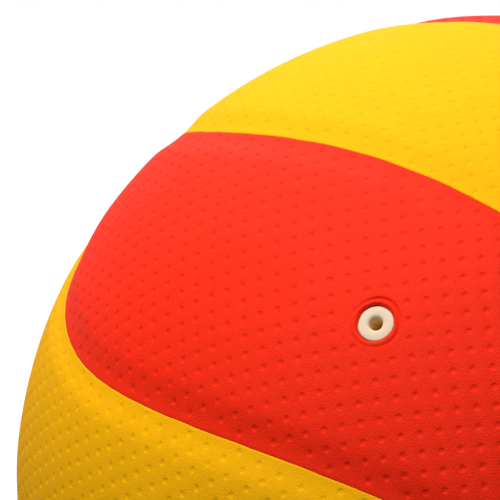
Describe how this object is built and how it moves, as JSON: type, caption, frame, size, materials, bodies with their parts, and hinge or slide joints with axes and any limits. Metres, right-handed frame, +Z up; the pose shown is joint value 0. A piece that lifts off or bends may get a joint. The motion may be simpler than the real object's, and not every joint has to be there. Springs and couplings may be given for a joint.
{
  "type": "volleyball",
  "caption": "Inflated ball with swirl panels of dimpled leather over foam, a cloth lining, a bladder and a needle valve.",
  "frame": {"origin": "centre of the ball", "axes": "+Z up as the ball lies in the picture, -Y towards the viewer and +X to the viewer's right; the valve faces front, left and up"},
  "size_m": [0.2098, 0.2096, 0.2098],
  "materials": {
    "leather_red": "dimpled synthetic leather, satin",
    "leather_yellow": "dimpled synthetic leather, satin",
    "foam": "closed-cell foam, matt",
    "cloth": "woven cotton and polyester, matt",
    "bladder_rubber": "butyl rubber, satin",
    "valve_rubber": "soft natural rubber, matt"
  },
  "bodies": {
    "root": {"skin_red_1": "leather_red", "skin_red_2": "leather_red", "skin_red_3": "leather_red", "skin_red_4": "leather_red", "skin_red_5": "leather_red", "skin_yellow_1": "leather_yellow", "skin_yellow_2": "leather_yellow", "skin_yellow_3": "leather_yellow", "skin_yellow_4": "leather_yellow", "skin_yellow_5": "leather_yellow", "foam_red_1": "foam", "foam_red_2": "foam", "foam_red_3": "foam", "foam_red_4": "foam", "foam_red_5": "foam", "foam_yellow_1": "foam", "foam_yellow_2": "foam", "foam_yellow_3": "foam", "foam_yellow_4": "foam", "foam_yellow_5": "foam", "cloth_lining": "cloth", "lining_patch": "cloth", "bladder": "bladder_rubber", "valve_housing": "valve_rubber", "valve_plug": "valve_rubber"}
  },
  "joints": []
}
